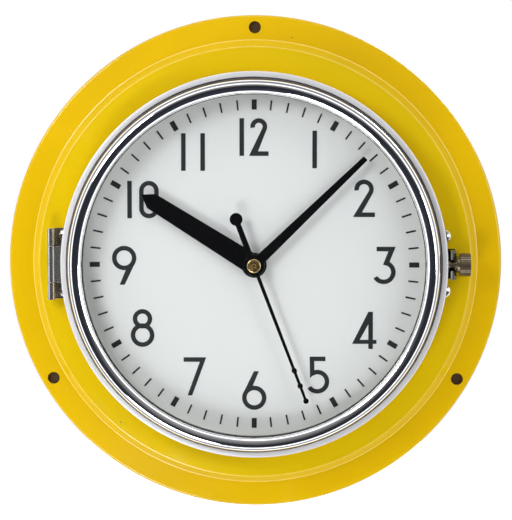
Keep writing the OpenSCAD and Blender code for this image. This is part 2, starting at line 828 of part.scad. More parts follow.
module bush_nut() {
    color([0.72, 0.58, 0.25]) front() translate([0, 0, dial_z]) difference() {
        cylinder(r = 6.3, h = nut_t, $fn = 6);
        translate([0, 0, -over]) cylinder(r = bush_r, h = nut_t + 2 * over);
    }
}

// Hands, each pointing to its own hour and pressed on its own arbor
module hand_at(angle, z) { rotate([0, 0, -angle]) translate([0, 0, z]) children(); }

module hour_hand() {
    shoulder = hour_len - 7;
    color([0.04, 0.04, 0.04]) front() hand_at(hour_angle, hour_z) difference() {
        union() {
            linear_extrude(hour_t) polygon([[-hour_w / 2, 0], [-hour_w * 0.395, shoulder],
                [0, hour_len], [hour_w * 0.395, shoulder], [hour_w / 2, 0]]);
            cylinder(r = hub_r, h = hour_t);
        }
        translate([0, 0, -over]) cylinder(r = hour_tube_r, h = hour_t + 2 * over);
    }
}

module hour_wheel() {
    color([0.75, 0.62, 0.30]) front() difference() {
        union() {
            translate([0, 0, hour_wheel_z])
                gear(hour_teeth, mod_hour, wheel_t + 0.2, minute_dir, true);
            translate([0, 0, hour_wheel_z])
                cylinder(r = hour_tube_r, h = hour_z + hour_t - hour_wheel_z);
        }
        translate([0, 0, hour_wheel_z - over]) cylinder(r = hour_bore_r, h = hour_z + 2 * over);
    }
}

module minute_hand() {
    tip_w = minute_w * 0.5;
    color([0.04, 0.04, 0.04]) front() hand_at(minute_angle, minute_z) difference() {
        union() {
            linear_extrude(minute_t) polygon([[-minute_w / 2, 0], [-tip_w / 2, minute_len],
                [tip_w / 2, minute_len], [minute_w / 2, 0]]);
            cylinder(r = hub_r - 1, h = minute_t);
        }
        translate([0, 0, -over]) cylinder(r = minute_tube_r, h = minute_t + 2 * over);
    }
}

module minute_arbor() {
    base = cannon_z - 0.3;
    color([0.75, 0.62, 0.30]) front() difference() {
        union() {
            translate([0, 0, base]) cylinder(r = minute_bore_r + 0.35, h = 0.4);
            translate([0, 0, cannon_z]) gear(cannon_pinion, mod_cannon, 1.4, minute_dir, true);
            translate([0, 0, cannon_z]) cylinder(r = hour_bore_r - slip - 0.6, h = 1.6);
            translate([0, 0, cannon_z + 1.5])
                cylinder(r = minute_tube_r, h = minute_z + minute_t - cannon_z - 1.5);
        }
        translate([0, 0, base - over]) cylinder(r = minute_bore_r, h = minute_z + over + 8);
    }
}

module second_hand() {
    tail = 28.3;
    color([0.04, 0.04, 0.04]) front() hand_at(second_angle, second_z) difference() {
        union() {
            linear_extrude(second_t) polygon([[-1.1, 0], [-0.8, second_len], [0.8, second_len], [1.1, 0]]);
            linear_extrude(second_t) polygon([[-1.7, 0], [-1.6, -tail], [1.6, -tail], [1.7, 0]]);
            translate([0, -tail, 0]) cylinder(r = 3.7, h = second_t);
            for (y = [second_len, 0.888 * second_len, 0.775 * second_len])
                translate([0, y, 0]) cylinder(r = 1.6, h = second_t);
            cylinder(r = boss_r - 0.3, h = second_t);
        }
        translate([0, 0, -over]) cylinder(r = second_arbor_r, h = second_t + 2 * over);
    }
}

module second_hand_boss() {
    color([0.78, 0.66, 0.35]) front() translate([0, 0, second_z + second_t]) difference() {
        cylinder(r = boss_r, h = boss_h);
        translate([0, 0, -over]) cylinder(r = second_arbor_r, h = 1 + over);
    }
}

module second_wheel() {
    color([0.80, 0.70, 0.40]) front() {
        translate([0, 0, second_wheel_z])
            gear(second_teeth, mod_step_second, wheel_t, step_dir, true);
        translate([0, 0, second_pinion_z])
            gear(second_pinion, mod_second_third, 1.4, third_dir, true);
        translate([0, 0, floor_z])
            cylinder(r = second_arbor_r - 0.25, h = second_pinion_z - floor_z + 0.2);
        translate([0, 0, second_pinion_z]) cylinder(r = second_arbor_r - 0.25, h = 2);
        translate([0, 0, second_pinion_z + 1.9])
            cylinder(r = second_arbor_r, h = second_z + second_t + 1 - second_pinion_z - 1.9);
        translate([0, 0, floor_z - pivot_depth + 0.2]) cylinder(r = pivot_r, h = pivot_depth);
    }
}

module arbor(at, z0, z1) {
    translate([at[0], at[1], z0]) cylinder(r = pivot_r, h = z1 - z0, $fn = 24);
}

module third_wheel() {
    color([0.80, 0.70, 0.40]) front() {
        translate([third_at[0], third_at[1], third_wheel_z])
            gear(third_teeth, mod_second_third, wheel_t, third_dir + 180);
        translate([third_at[0], third_at[1], third_wheel_z + 0.4])
            gear(third_pinion, mod_third_centre, centre_wheel_z + wheel_t - third_wheel_z, third_dir + 180);
        arbor(third_at, floor_z - pivot_depth + 0.2, roof_z + pivot_depth - 0.2);
    }
}

module centre_wheel() {
    color([0.75, 0.62, 0.30]) front() difference() {
        translate([0, 0, centre_wheel_z]) gear(centre_teeth, mod_third_centre, wheel_t, third_dir, true);
        translate([0, 0, centre_wheel_z - over]) cylinder(r = second_arbor_r + 0.1, h = wheel_t + 2 * over);
    }
}

module step_wheel() {
    color([0.85, 0.85, 0.80]) front() {
        translate([step_at[0], step_at[1], step_wheel_z])
            gear(step_teeth, mod_rotor_step, wheel_t, rotor_dir, true);
        translate([step_at[0], step_at[1], step_pinion_z - 0.5])
            gear(step_pinion, mod_step_second, 2.3, step_dir + 180);
        arbor(step_at, floor_z - pivot_depth + 0.2, roof_z + pivot_depth - 0.2);
    }
}

module rotor() {
    color([0.35, 0.35, 0.38]) front() {
        translate([rotor_at[0], rotor_at[1], floor_z + 0.4])
            gear(rotor_pinion, mod_rotor_step, 1.6, rotor_dir + 180);
        translate([rotor_at[0], rotor_at[1], floor_z + 2.8]) cylinder(r = 2.8, h = 3);
        arbor(rotor_at, floor_z - pivot_depth + 0.2, roof_z + pivot_depth - 0.2);
    }
}

module minute_wheel() {
    color([0.85, 0.85, 0.80]) front() {
        translate([minute_at[0], minute_at[1], minute_wheel_z])
            gear(minute_teeth, mod_cannon, wheel_t, minute_dir + 180);
        translate([minute_at[0], minute_at[1], minute_pinion_z - 0.4])
            gear(minute_pinion, mod_hour, 2.2, minute_dir + 180);
        arbor(minute_at, minute_wheel_z - 0.2, roof_z + pivot_depth - 0.2);
    }
}

// The wheel that sets the hands, reached from the back of the movement
module setting_knob() {
    color([0.85, 0.10, 0.08]) front() translate([knob_at[0], knob_at[1], 0]) {
        translate([0, 0, minute_wheel_z - 0.2])
            gear(knob_pinion, mod_cannon, wheel_t + 0.4, minute_dir + 180, true);
        translate([0, 0, move_bottom - 0.6]) cylinder(r = 1.5, h = minute_wheel_z - move_bottom + 0.6);
        translate([0, 0, move_bottom - 3.6]) linear_extrude(3) polygon([for (i = [0 : 47])
            polar(5.2 - (i % 2) * 0.4, 7.5 * i)]);
        translate([0, 0, minute_wheel_z])
            cylinder(r = pivot_r, h = roof_z + pivot_depth - 0.2 - minute_wheel_z);
    }
}

// Stepping motor and electronics: the stator is a frame around the rotor's arm, a window and
// the coil's core
stator_z = floor_z + 3.4;
stator_t = 1.2;
stator_arm = 2.2;
stator_x0 = rotor_at[0] - 4.6;
stator_x1 = move_half - move_wall - 0.8;
rotor_arm_h = 9;
coil_y = 19;
coil_gap = 0.5;

module stator() {
    y0 = rotor_at[1] - rotor_arm_h / 2;
    window_y0 = y0 + rotor_arm_h;
    window_y1 = coil_y - 2;
    color([0.55, 0.57, 0.60]) front() translate([0, 0, stator_z]) difference() {
        translate([stator_x0, y0, 0]) cube([stator_x1 - stator_x0, coil_y + 2 - y0, stator_t]);
        translate([stator_x0 + stator_arm, window_y0, -over])
            cube([stator_x1 - stator_x0 - 2 * stator_arm, window_y1 - window_y0, stator_t + 2 * over]);
        translate([rotor_at[0], rotor_at[1], -over]) cylinder(r = 3.3, h = stator_t + 2 * over);
    }
}

module coil() {
    x0 = stator_x0 + stator_arm + coil_gap;
    len = stator_x1 - stator_arm - coil_gap - x0;
    color([0.72, 0.36, 0.16]) front() translate([x0, coil_y - 4, stator_z - 2]) difference() {
        cube([len, 8, stator_t + 4]);
        translate([-over, 2, 2]) cube([len + 2 * over, 4, stator_t]);
    }
}

module circuit_board() {
    color([0.10, 0.35, 0.18]) front() translate([-move_half + move_wall + 0.5, 13.5, roof_z - 2.6])
        cube([17, 12, 1]);
}

module quartz_can() {
    color([0.75, 0.76, 0.78]) front() translate([-move_half + move_wall + 4, 19.5, roof_z - 4.1])
        rotate([0, 90, 0]) cylinder(r = 1.5, h = 8);
}

module battery() {
    color([0.16, 0.20, 0.45]) front() translate([-battery_len / 2, battery_y, battery_z]) rotate([0, 90, 0]) {
        cylinder(r = battery_r, h = battery_len - 1);
        cylinder(r = 2.7, h = battery_len);
    }
}

module battery_contacts() {
    t = 0.4;
    color([0.80, 0.80, 0.78]) front() for (s = [-1, 1]) {
        x = s > 0 ? battery_len / 2 : -battery_len / 2 - t;
        translate([x, battery_y - 4, battery_z - 4]) cube([t, 8, 8]);
    }
}

front_case();
case_collar();
rear_can();
can_screws();
rear_cover();
cover_screws();
cable_gland();
gland_nut();
gland_plug();
case_gasket();
dial_plate();
minute_track();
hour_numerals();
dial_snap_ring();
bezel_ring();
glass_lens();
glass_gasket();
glass_retaining_ring();
hinge_case_leaf();
hinge_bezel_leaf();
hinge_pin();
hinge_screws();
latch_bracket();
latch_screws();
bezel_lug();
latch_pivot_pin();
eye_bolt();
nut_washer();
thumb_nut();
movement_front_shell();
movement_rear_shell();
dial_washer();
bush_nut();
hour_hand();
hour_wheel();
minute_hand();
minute_arbor();
second_hand();
second_hand_boss();
second_wheel();
third_wheel();
centre_wheel();
step_wheel();
rotor();
minute_wheel();
setting_knob();
stator();
coil();
circuit_board();
quartz_can();
battery();
battery_contacts();
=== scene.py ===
"""Ship's deck clock: the packed CAD model with turned and bevelled pieces, finishes and a studio.

Lengths are in millimetres on the dial (right, up, towards the viewer) until at() turns them into
the model's frame, where the dial faces -Y and up is +Z.
"""

import json
from math import atan2, cos, pi, radians, sin

import bpy
from bpy.props import FloatProperty, FloatVectorProperty, IntProperty, PointerProperty
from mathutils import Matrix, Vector


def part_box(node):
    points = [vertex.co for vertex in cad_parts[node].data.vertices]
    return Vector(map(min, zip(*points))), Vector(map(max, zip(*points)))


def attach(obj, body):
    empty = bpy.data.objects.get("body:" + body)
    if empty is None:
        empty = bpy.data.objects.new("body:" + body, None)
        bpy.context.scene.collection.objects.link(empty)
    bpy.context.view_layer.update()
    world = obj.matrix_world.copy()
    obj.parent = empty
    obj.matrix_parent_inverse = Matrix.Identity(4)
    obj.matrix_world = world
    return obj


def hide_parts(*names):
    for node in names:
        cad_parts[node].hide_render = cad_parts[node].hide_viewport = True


bl_info = {
    "name": "Deck Clock Workshop",
    "version": (1, 0, 0),
    "blender": (4, 5, 0),
    "location": "View3D > Sidebar > Clock",
    "description": "Builds the finished pieces, materials and studio of a marine bulkhead clock",
    "category": "Object",
}

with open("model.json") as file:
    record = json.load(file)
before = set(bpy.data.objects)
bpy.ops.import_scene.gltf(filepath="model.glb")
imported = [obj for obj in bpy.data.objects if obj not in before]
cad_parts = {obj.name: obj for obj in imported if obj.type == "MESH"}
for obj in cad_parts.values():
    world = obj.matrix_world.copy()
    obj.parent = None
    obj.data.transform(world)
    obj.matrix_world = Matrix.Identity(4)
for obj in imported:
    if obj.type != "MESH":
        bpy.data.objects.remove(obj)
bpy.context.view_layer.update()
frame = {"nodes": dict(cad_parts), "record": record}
MM = 0.001


def reach(node):
    """Half width of a round CAD node, and its heights at the back and at the front, in millimetres."""
    low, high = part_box(node)
    return (high[0] - low[0]) / 2 / MM, -high[1] / MM, -low[1] / MM


FLANGE_R, WALL_Z, RING_Z = reach("front_case")
BEZEL_R, SKIRT_Z, CREST_Z = reach("bezel_ring")
GLASS_FRONT_Z = reach("glass_lens")[2]
CAN_R = 100.0
CAN_BACK_Z = reach("rear_can")[1]
COVER_R, COVER_BACK_Z, _ = reach("rear_cover")
HOLE_R = 3.5
HOLE_CIRCLE_R = 135.5
HOLE_ANGLES = (90, 210, 330)
SCREW_HOLE_R = 1.25
BEAD_FOOT_R = 106.95


# ------------------------------------------------------------------------------------------------
# Settings


def length(name, description, default):
    """A length on a slider, given in millimetres and kept in metres."""
    return FloatProperty(
        name=name,
        description=description,
        default=default * MM,
        min=0,
        precision=5,
        subtype="DISTANCE",
        unit="LENGTH",
    )


def colour(name, description, default):
    """A linear colour swatch."""
    return FloatVectorProperty(
        name=name, description=description, default=default, size=3, min=0, max=1, subtype="COLOR"
    )


class ClockSizes(bpy.types.PropertyGroup):
    """Sizes of the pieces that are made here."""

    segments: IntProperty(
        name="Segments", description="Sides of a turned piece", default=240, min=48, max=360
    )
    bead_r: length("Bead radius", "Foot of the bezel's polished bead", 106.6)
    crest_r: length("Crest radius", "Highest circle of the bead", 102.0)
    sight_r: length("Sight radius", "Opening over the glass", 97.5)
    rim_z: length("Rim height", "Height of the bezel's flat rim above the wall", 26.0)
    seat_z: length("Seat height", "Height of the bezel's seat on the case gasket", 22.7)
    hand_bevel: length("Hand bevel", "Width of the bevel on the hands", 0.34)
    edge_break: length("Edge break", "Rounding on the edges of the small fittings", 0.22)
    boss_r: length("Boss radius", "Radius of the second hand's brass boss", 3.9)
    nut_r: length("Nut radius", "Radius of the knurled nut", 6.6)


class ClockColours(bpy.types.PropertyGroup):
    """Colours of the finishes."""

    enamel: colour("Enamel", "Paint on the case", (0.82, 0.515, 0.002))
    dial: colour("Dial", "Paint on the dial plate", (0.82, 0.835, 0.825))
    ink: colour("Ink", "Numerals and minute marks", (0.007, 0.009, 0.010))
    lacquer: colour("Lacquer", "Black finish on the hands", (0.004, 0.004, 0.004))
    chrome: colour("Chrome", "Polished bezel", (0.86, 0.87, 0.88))
    nickel: colour("Nickel", "Hinge, screws and latch plate", (0.62, 0.60, 0.55))
    brass: colour("Brass", "Turned brass", (0.80, 0.58, 0.26))


def millimetres(name):
    """The size of that name in use, in millimetres."""
    return getattr(bpy.context.scene.clock_sizes, name) / MM


def colours():
    """The colours in use."""
    return bpy.context.scene.clock_colours


# ------------------------------------------------------------------------------------------------
# Finishes


class Wire:
    """An output socket that takes part in Python sums, each of which adds its Math node."""

    def __init__(self, tree, socket):
        self.tree = tree
        self.socket = socket

    def sum(self, operation, *values):
        """The Math node of that operation on these values."""
        return self.tree.add("ShaderNodeMath", *values, settings={"operation": operation})

    def __add__(self, other):
        return self.sum("ADD", self, other)

    def __radd__(self, other):
        return self.sum("ADD", other, self)

    def __sub__(self, other):
        return self.sum("SUBTRACT", self, other)

    def __rsub__(self, other):
        return self.sum("SUBTRACT", other, self)

    def __mul__(self, other):
        return self.sum("MULTIPLY", self, other)

    def __rmul__(self, other):
        return self.sum("MULTIPLY", other, self)

    def __truediv__(self, other):
        return self.sum("DIVIDE", self, other)

    def __rtruediv__(self, other):
        return self.sum("DIVIDE", other, self)

    def __pow__(self, other):
        return self.sum("POWER", self, other)

    def __gt__(self, other):
        return self.sum("GREATER_THAN", self, other)

    def __lt__(self, other):
        return self.sum("LESS_THAN", self, other)


class Tree:
    """Adds nodes to one material or world."""

    def __init__(self, owner):
        owner.use_nodes = True
        self.nodes = owner.node_tree.nodes
        self.links = owner.node_tree.links
        self.nodes.clear()

    def add(self, kind, *values, settings=None, sockets=None, out=0):
        """One node: its settings first, then its sockets in order and by name."""
        node = self.nodes.new(kind)
        for key, value in (settings or {}).items():
            if key == "stops":
                self.set_stops(node.color_ramp, value)
            else:
                setattr(node, key, value)
        pairs = list(zip(node.inputs, values))
        pairs += [(node.inputs[key], value) for key, value in (sockets or {}).items()]
        for socket, value in pairs:
            if isinstance(value, Wire):
                self.links.new(value.socket, socket)
            elif value is not None:
                socket.default_value = value
        return Wire(self, node.outputs[out]) if node.outputs else None

    def set_stops(self, ramp, stops):
        """Gives a colour ramp its (place, grey or colour) stops."""
        while len(ramp.elements) < len(stops):
            ramp.elements.new(1)
        for element, (place, tone) in zip(ramp.elements, stops):
            element.position = place
            element.color = (tone,) * 3 + (1,) if isinstance(tone, (int, float)) else (*tone, 1)

    def ramp(self, value, stops):
        """A grey or colour that changes with value at these stops."""
        return self.add("ShaderNodeValToRGB", value, settings={"stops": stops})

    def mix(self, factor, first, second):
        """A blend of two colours."""
        node = self.nodes.new("ShaderNodeMix")
        node.data_type = "RGBA"
        for index, value in ((0, factor), (6, first), (7, second)):
            if isinstance(value, Wire):
                self.links.new(value.socket, node.inputs[index])
            else:
                node.inputs[index].default_value = value if index == 0 else (*value[:3], 1)
        return Wire(self, node.outputs[2])

    def place(self, stretch=None):
        """Object coordinates in metres, stretched where a pattern runs one way."""
        coordinates = self.add("ShaderNodeTexCoord", out=3)
        if stretch is None:
            return coordinates
        return self.add("ShaderNodeMapping", coordinates, sockets={"Scale": stretch})

    def noise(self, scale, detail=3.0, roughness=0.55, where=None, distortion=0.0):
        """Cloudy noise from 0 to 1 with that many cells a metre."""
        return self.add(
            "ShaderNodeTexNoise",
            sockets={
                "Vector": where or self.place(),
                "Scale": scale,
                "Detail": detail,
                "Roughness": roughness,
                "Distortion": distortion,
            },
        )

    def radius(self, x=0.0, z=0.0):
        """Distance in millimetres from an axis that runs front to back at that place."""
        offset = self.add(
            "ShaderNodeVectorMath",
            self.place(),
            (x * MM, 0, z * MM),
            settings={"operation": "SUBTRACT"},
        )
        flat = self.add(
            "ShaderNodeVectorMath", offset, (1 / MM, 0, 1 / MM), settings={"operation": "MULTIPLY"}
        )
        return self.add("ShaderNodeVectorMath", flat, settings={"operation": "LENGTH"}, out=1)

    def height(self):
        """Height in millimetres towards the viewer."""
        return self.add("ShaderNodeSeparateXYZ", self.place(), out=1) * (-1 / MM)

    def bump(self, height, strength, distance):
        """A normal with bumps of that height in metres."""
        return self.add(
            "ShaderNodeBump",
            sockets={"Strength": strength, "Distance": distance, "Height": height},
        )

    def shader(self, **values):
        """A Principled surface. Names are its sockets' with underscores for spaces."""
        named = {key.replace("_", " "): value for key, value in values.items()}
        for key in ("Base Color", "Coat Tint", "Sheen Tint"):
            if key in named and not isinstance(named[key], Wire):
                named[key] = (*named[key][:3], 1)
        return self.add("ShaderNodeBsdfPrincipled", sockets=named)

    def output(self, surface, kind="ShaderNodeOutputMaterial"):
        """Ends the tree in this surface."""
        self.add(kind, surface)


FINISHES = {}


def finish(make):
    """Keeps each material once made, under its function's name."""

    def once():
        if make.__name__ not in FINISHES:
            material = bpy.data.materials.new(make.__name__)
            make(Tree(material))
            FINISHES[make.__name__] = material
        return FINISHES[make.__name__]

    once.__name__ = make.__name__
    once.__doc__ = make.__doc__
    return once


def shade(base, factor):
    """A colour made lighter or darker."""
    return tuple(min(1.0, part * factor) for part in base)


@finish
def case_enamel(tree):
    """Yellow enamel: mottled, lemon on the raised ring, lighter on the step's edges, a few chips."""
    base = colours().enamel
    radius = tree.radius()
    paint = tree.mix(tree.ramp(tree.noise(11, 2), [(0.35, 0.0), (0.68, 1.0)]), base, shade(base, 0.90))
    grain = tree.ramp(tree.noise(620, 2), [(0.30, 1.0), (0.42, 0.0)])
    paint = tree.mix(grain * 0.10, paint, (0.56, 0.33, 0.004))
    scuff = tree.ramp(tree.noise(34, 5, 0.7), [(0.60, 0.0), (0.70, 1.0)])
    paint = tree.mix(scuff * 0.10, paint, (0.80, 0.56, 0.012))
    chip = (tree.noise(155, 3, 0.6) > 0.752) * (tree.noise(21, 1) > 0.52)
    paint = tree.mix(chip, paint, (0.16, 0.075, 0.03))
    # Darker in patches towards the bezel's foot.
    darker_by_bezel = tree.ramp((radius - 109.0) / 4.0, [(0.0, 1.0), (1.0, 0.0)]) * tree.noise(90, 3)
    paint = tree.mix(darker_by_bezel * 0.30, paint, (0.30, 0.20, 0.02))
    lemon = tree.ramp((129.0 - radius) / 8.0, [(0.0, 0.0), (1.0, 1.0)])
    paint = tree.mix(lemon * 0.8, paint, tree.mix(0.5, paint, (0.84, 0.66, 0.004)))
    # Painted highlight: two thin lighter lines on the rounded edges at the top and the foot of the
    # step.
    top_edge_highlight = (radius > 124.0) * (radius < 124.7)
    foot_edge_highlight = (radius > 127.9) * (radius < 128.6)
    paint = tree.mix((top_edge_highlight + foot_edge_highlight) * 0.45, paint, (1.0, 0.78, 0.16))
    # Painted shade: near black by the latch's fork and under the hinge's middle, standing in for the
    # shadow in the gaps between the parts.
    paint = tree.mix(fitting_grime(tree) * 0.96, paint, (0.012, 0.010, 0.008))
    peel = tree.noise(240, 2) * 0.6 + tree.noise(60, 2) * 1.6 - chip * 1.2
    tree.output(
        tree.shader(
            Base_Color=paint,
            Roughness=tree.noise(46, 4) * 0.10 + scuff * 0.10 + chip * 0.4 + 0.11,
            Specular_IOR_Level=0.38,
            Coat_Weight=(1 - chip) * 0.20,
            Coat_Roughness=0.06,
            Normal=tree.bump(peel, 0.35, 0.00012),
        )
    )


def fitting_grime(tree):
    """One on both faces of the raised ring by the latch and the hinge's middle, zero elsewhere."""
    across, up = (tree.add("ShaderNodeSeparateXYZ", tree.place(), out=i) / MM for i in (0, 2))
    latch = (across > 107.0) * (across < 115.6) * (up > -8.6) * (up < 8.6)
    hinge = (across > -119.2) * (across < -107.0) * (up > -11.2) * (up < 11.2)
    return (latch + hinge) * (tree.height() > 5.0)


@finish
def hole_shadow(tree):
    """The dark bulkhead that shows through the wall holes."""
    tree.output(
        tree.shader(
            Base_Color=tree.mix(tree.noise(500, 3), (0.04, 0.022, 0.010), (0.09, 0.05, 0.02)),
            Roughness=tree.noise(300, 3) * 0.2 + 0.7,
        )
    )


@finish
def dial_white(tree):
    """Cool white dial paint, yellowed a touch towards its edge."""
    base = colours().dial
    # Painted shade: the dial darkens towards its edge, under the bezel.
    edge = tree.ramp((tree.radius() - 84.0) / 18.0, [(0.0, 0.0), (1.0, 1.0)])
    paint = tree.mix(edge * 0.35, base, (0.70, 0.70, 0.66))
    cloud = tree.ramp(tree.noise(16, 3), [(0.40, 0.0), (0.75, 1.0)])
    paint = tree.mix(cloud * 0.25, paint, shade(base, 0.94))
    speck = tree.noise(900, 2) > 0.765
    paint = tree.mix(speck * 0.35, paint, (0.25, 0.22, 0.18))
    tree.output(
        tree.shader(
            Base_Color=paint,
            Roughness=tree.noise(60, 3) * 0.12 + 0.34,
            Normal=tree.bump(tree.noise(1500, 2), 0.10, 0.00003),
        )
    )


@finish
def dial_black(tree):
    """Silk-screened ink with a faint mottle."""
    base = colours().ink
    paint = tree.mix(tree.noise(420, 4), base, shade(base, 2.2))
    tree.output(
        tree.shader(
            Base_Color=paint,
            Roughness=tree.noise(300, 3) * 0.2 + 0.42,
            Normal=tree.bump(tree.noise(2600, 2), 0.15, 0.00002),
        )
    )


@finish
def hand_black(tree):
    """Gloss black lacquer with hairline rubs."""
    base = colours().lacquer
    rub = tree.ramp(tree.noise(260, 4, 0.7, tree.place((1, 1, 6))), [(0.58, 0.0), (0.72, 1.0)])
    tree.output(
        tree.shader(
            Base_Color=tree.mix(rub * 0.5, base, (0.02, 0.02, 0.022)),
            Roughness=tree.noise(180, 3) * 0.10 + rub * 0.12 + 0.08,
            Specular_IOR_Level=0.35,
            Coat_Weight=0.2,
            Coat_Roughness=0.05,
            Normal=tree.bump(tree.noise(420, 2), 0.12, 0.00004),
        )
    )


@finish
def bezel_chrome(tree):
    """Chrome plate: mirror bright on the bead, satin on the flat rim, dark in the seam between."""
    base = colours().chrome
    radius = tree.radius()
    flat = (radius > BEAD_FOOT_R) * (tree.height() > 25.2)
    smudge = tree.ramp(tree.noise(70, 5, 0.65), [(0.50, 0.0), (0.72, 1.0)])
    pit = tree.noise(1300, 2) > 0.735
    tint = tree.mix(smudge * 0.35, base, (0.60, 0.62, 0.66))
    tint = tree.mix(pit * 0.6, tint, (0.18, 0.17, 0.16))
    tint = tree.mix(flat, tint, (0.84, 0.84, 0.86))
    # Painted shade: near black in the groove at the bead's foot.
    groove_shade = (radius > 105.4) * (radius < BEAD_FOOT_R)
    tint = tree.mix(groove_shade, tint, (0.05, 0.05, 0.055))
    ripple = tree.noise(180, 2, 0.5, None, 0.4) + tree.noise(36, 2) * 2.2
    tree.output(
        tree.shader(
            Base_Color=tint,
            Metallic=1 - flat * 0.80,
            Roughness=smudge * 0.14 + flat * 0.33 + pit * 0.2 + groove_shade * 0.4 + 0.045,
            Normal=tree.bump(ripple, 0.30, 0.00009),
        )
    )


@finish
def clear_glass(tree):
    """Flat clear glass: it lets light straight through and reflects more at a glancing angle."""
    smear = tree.ramp(tree.noise(22, 4, 0.6), [(0.45, 0.0), (0.80, 1.0)])
    clear = tree.add("ShaderNodeBsdfTransparent", (0.985, 0.99, 0.99, 1))
    gloss = tree.shader(
        Base_Color=(1, 1, 1), Metallic=1.0, Roughness=0.015 + smear * 0.05
    )
    facing = tree.add("ShaderNodeLayerWeight", 0.5, out=1)
    mirrored = facing**5 * 0.5 + smear * 0.004 + 0.024
    tree.output(tree.add("ShaderNodeMixShader", mirrored, clear, gloss))


@finish
def seal_rubber(tree):
    """Black rubber, dusted and slightly bloomed."""
    bloom = tree.ramp(tree.noise(120, 4, 0.65), [(0.45, 0.0), (0.75, 1.0)])
    tree.output(
        tree.shader(
            Base_Color=tree.mix(bloom * 0.6, (0.014, 0.014, 0.014), (0.07, 0.068, 0.062)),
            Roughness=tree.noise(300, 3) * 0.2 + 0.62,
            Normal=tree.bump(tree.noise(1800, 3), 0.35, 0.00005),
        )
    )


def plated(tree, base, worn, rough, lines=(8, 8, 1)):
    """Plated metal with rubbed patches, drawing lines and dark specks of tarnish."""
    patch = tree.ramp(tree.noise(150, 4, 0.65), [(0.46, 0.0), (0.68, 1.0)])
    drawn = tree.noise(900, 3, 0.6, tree.place(lines))
    tint = tree.mix(patch, base, worn)
    tint = tree.mix((tree.noise(700, 2) > 0.70) * 0.6, tint, shade(worn, 0.35))
    tree.output(
        tree.shader(
            Base_Color=tint,
            Metallic=0.88,
            Roughness=drawn * 0.10 + patch * 0.10 + rough,
            Normal=tree.bump(drawn, 0.10, 0.00003),
        )
    )


@finish
def plated_steel(tree):
    """Nickel plate with handling marks."""
    base = colours().nickel
    plated(tree, base, shade(base, 0.78), 0.08)


@finish
def dark_nickel(tree):
    """Tarnished nickel plate, nearly black."""
    plated(tree, (0.22, 0.215, 0.20), (0.10, 0.10, 0.09), 0.16, (8, 1, 1))


@finish
def worn_brass(tree):
    """Nickel plate worn through to brown brass."""
    plated(tree, (0.34, 0.28, 0.20), (0.22, 0.17, 0.11), 0.24, (1, 8, 8))


@finish
def clean_brass(tree):
    """Bright brass with turning marks round its axis."""
    base = colours().brass
    rings = tree.add(
        "ShaderNodeTexWave",
        settings={"wave_type": "RINGS", "rings_direction": "Y"},
        sockets={"Vector": tree.place(), "Scale": 420.0, "Distortion": 1.2, "Detail": 2.0},
        out=1,
    )
    stain = tree.ramp(tree.noise(300, 4, 0.6), [(0.50, 0.0), (0.75, 1.0)])
    tree.output(
        tree.shader(
            Base_Color=tree.mix(stain * 0.5, base, shade(base, 0.55)),
            Metallic=1.0,
            Roughness=rings * 0.10 + stain * 0.14 + 0.16,
            Normal=tree.bump(rings, 0.28, 0.00004),
        )
    )


def moulded(tree, base, gloss, spark=0.0003):
    """Moulded plastic with a fine spark finish and flow marks."""
    flow = tree.noise(70, 3, 0.6)
    tree.output(
        tree.shader(
            Base_Color=tree.mix(flow * 0.5, base, shade(base, 0.72)),
            Roughness=flow * 0.14 + gloss,
            Normal=tree.bump(tree.noise(2200, 2), 0.3, spark * 0.1),
        )
    )


@finish
def black_plastic(tree):
    """Moulded black plastic."""
    moulded(tree, (0.022, 0.022, 0.024), 0.38)


@finish
def white_plastic(tree):
    """White acetal wheels."""
    moulded(tree, (0.80, 0.79, 0.73), 0.24)


@finish
def red_plastic(tree):
    """The red setting wheel."""
    moulded(tree, (0.62, 0.035, 0.022), 0.26)


@finish
def magnet_steel(tree):
    """Bare stamped steel with a drawn grain."""
    plated(tree, (0.42, 0.43, 0.45), (0.30, 0.30, 0.31), 0.24, (1, 1, 10))


@finish
def coil_copper(tree):
    """Fine enamelled winding, turn beside turn."""
    turns = tree.add(
        "ShaderNodeTexWave",
        settings={"bands_direction": "X"},
        sockets={"Vector": tree.place(), "Scale": 2600.0, "Distortion": 0.4, "Detail": 1.0},
        out=1,
    )
    # Painted highlight and shade: lighter on each turn's crest, darker between turns, following the
    # bumps.
    tree.output(
        tree.shader(
            Base_Color=tree.mix(turns, (0.26, 0.07, 0.02), (0.74, 0.30, 0.12)),
            Metallic=0.8,
            Roughness=turns * -0.12 + 0.36,
            Coat_Weight=0.5,
            Normal=tree.bump(turns, 0.6, 0.00008),
        )
    )


@finish
def board_green(tree):
    """Solder mask over copper tracks."""
    cells = tree.add(
        "ShaderNodeTexVoronoi",
        settings={"feature": "DISTANCE_TO_EDGE"},
        sockets={"Vector": tree.place(), "Scale": 360.0},
    )
    track = tree.ramp(cells, [(0.10, 1.0), (0.16, 0.0)])
    tree.output(
        tree.shader(
            Base_Color=tree.mix(track, (0.012, 0.10, 0.04), (0.03, 0.24, 0.09)),
            Roughness=track * 0.12 + 0.24,
            Normal=tree.bump(track, 0.5, 0.00005),
        )
    )


@finish
def battery_jacket(tree):
    """A printed metal jacket in two plain bands."""
    along = tree.add("ShaderNodeSeparateXYZ", tree.place()) / MM
    band = (along + tree.noise(500, 2) * 0.2) > 12.0
    tree.output(
        tree.shader(
            Base_Color=tree.mix(band, (0.025, 0.04, 0.20), (0.62, 0.40, 0.12)),
            Metallic=0.5,
            Roughness=tree.noise(120, 3) * 0.16 + 0.22,
            Normal=tree.bump(tree.noise(340, 2), 0.12, 0.00004),
        )
    )


def dress(thing, material):
    """Puts one finish all over a piece or a CAD node."""
    if not thing.material_slots:
        thing.data.materials.append(material)
    for slot in thing.material_slots:
        slot.material = material


